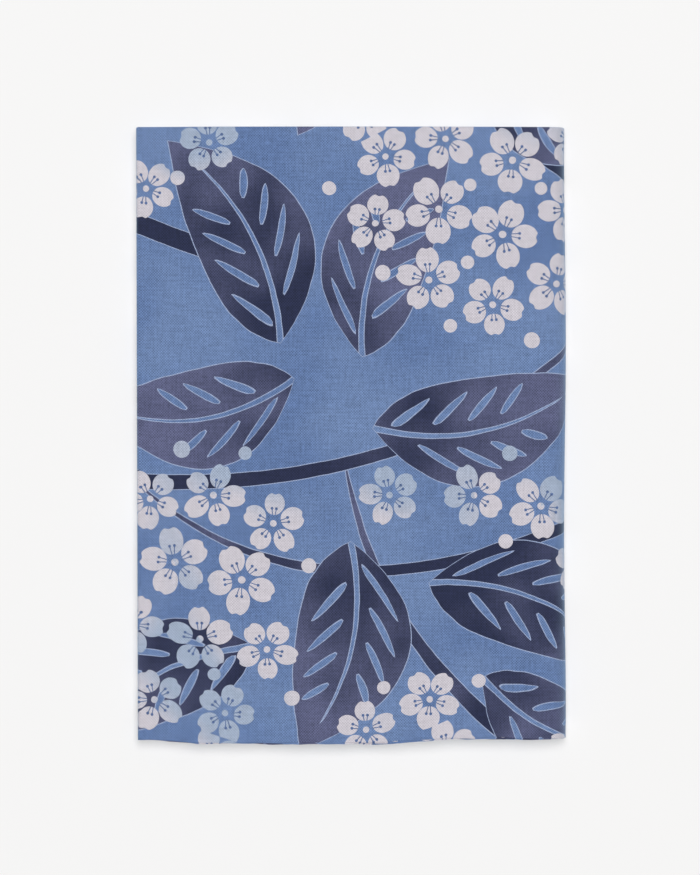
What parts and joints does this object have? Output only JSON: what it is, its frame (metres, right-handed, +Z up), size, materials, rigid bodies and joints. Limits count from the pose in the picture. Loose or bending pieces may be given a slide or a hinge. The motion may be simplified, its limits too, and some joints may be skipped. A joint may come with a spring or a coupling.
{
  "type": "folded tenugui towel",
  "caption": "Thin plain-weave cotton hand towel, folded in half across its width and then lengthwise into a flat packet with a rounded spine.",
  "frame": {"origin": "middle of the packet's flat underside, on the surface that it lies on", "axes": "+Z up through the layers; +Y along the packet's longer side, from the selvedges towards the fold made across the cloth's width; +X towards the rounded spine"},
  "size_m": [0.1218, 0.1754, 0.0097],
  "materials": {
    "dyed_cotton": "matte plain-weave cotton, dyed mid blue with a pattern of dark leaves and pale blossoms"
  },
  "bodies": {
    "root": {"towel": "dyed_cotton"}
  },
  "joints": []
}
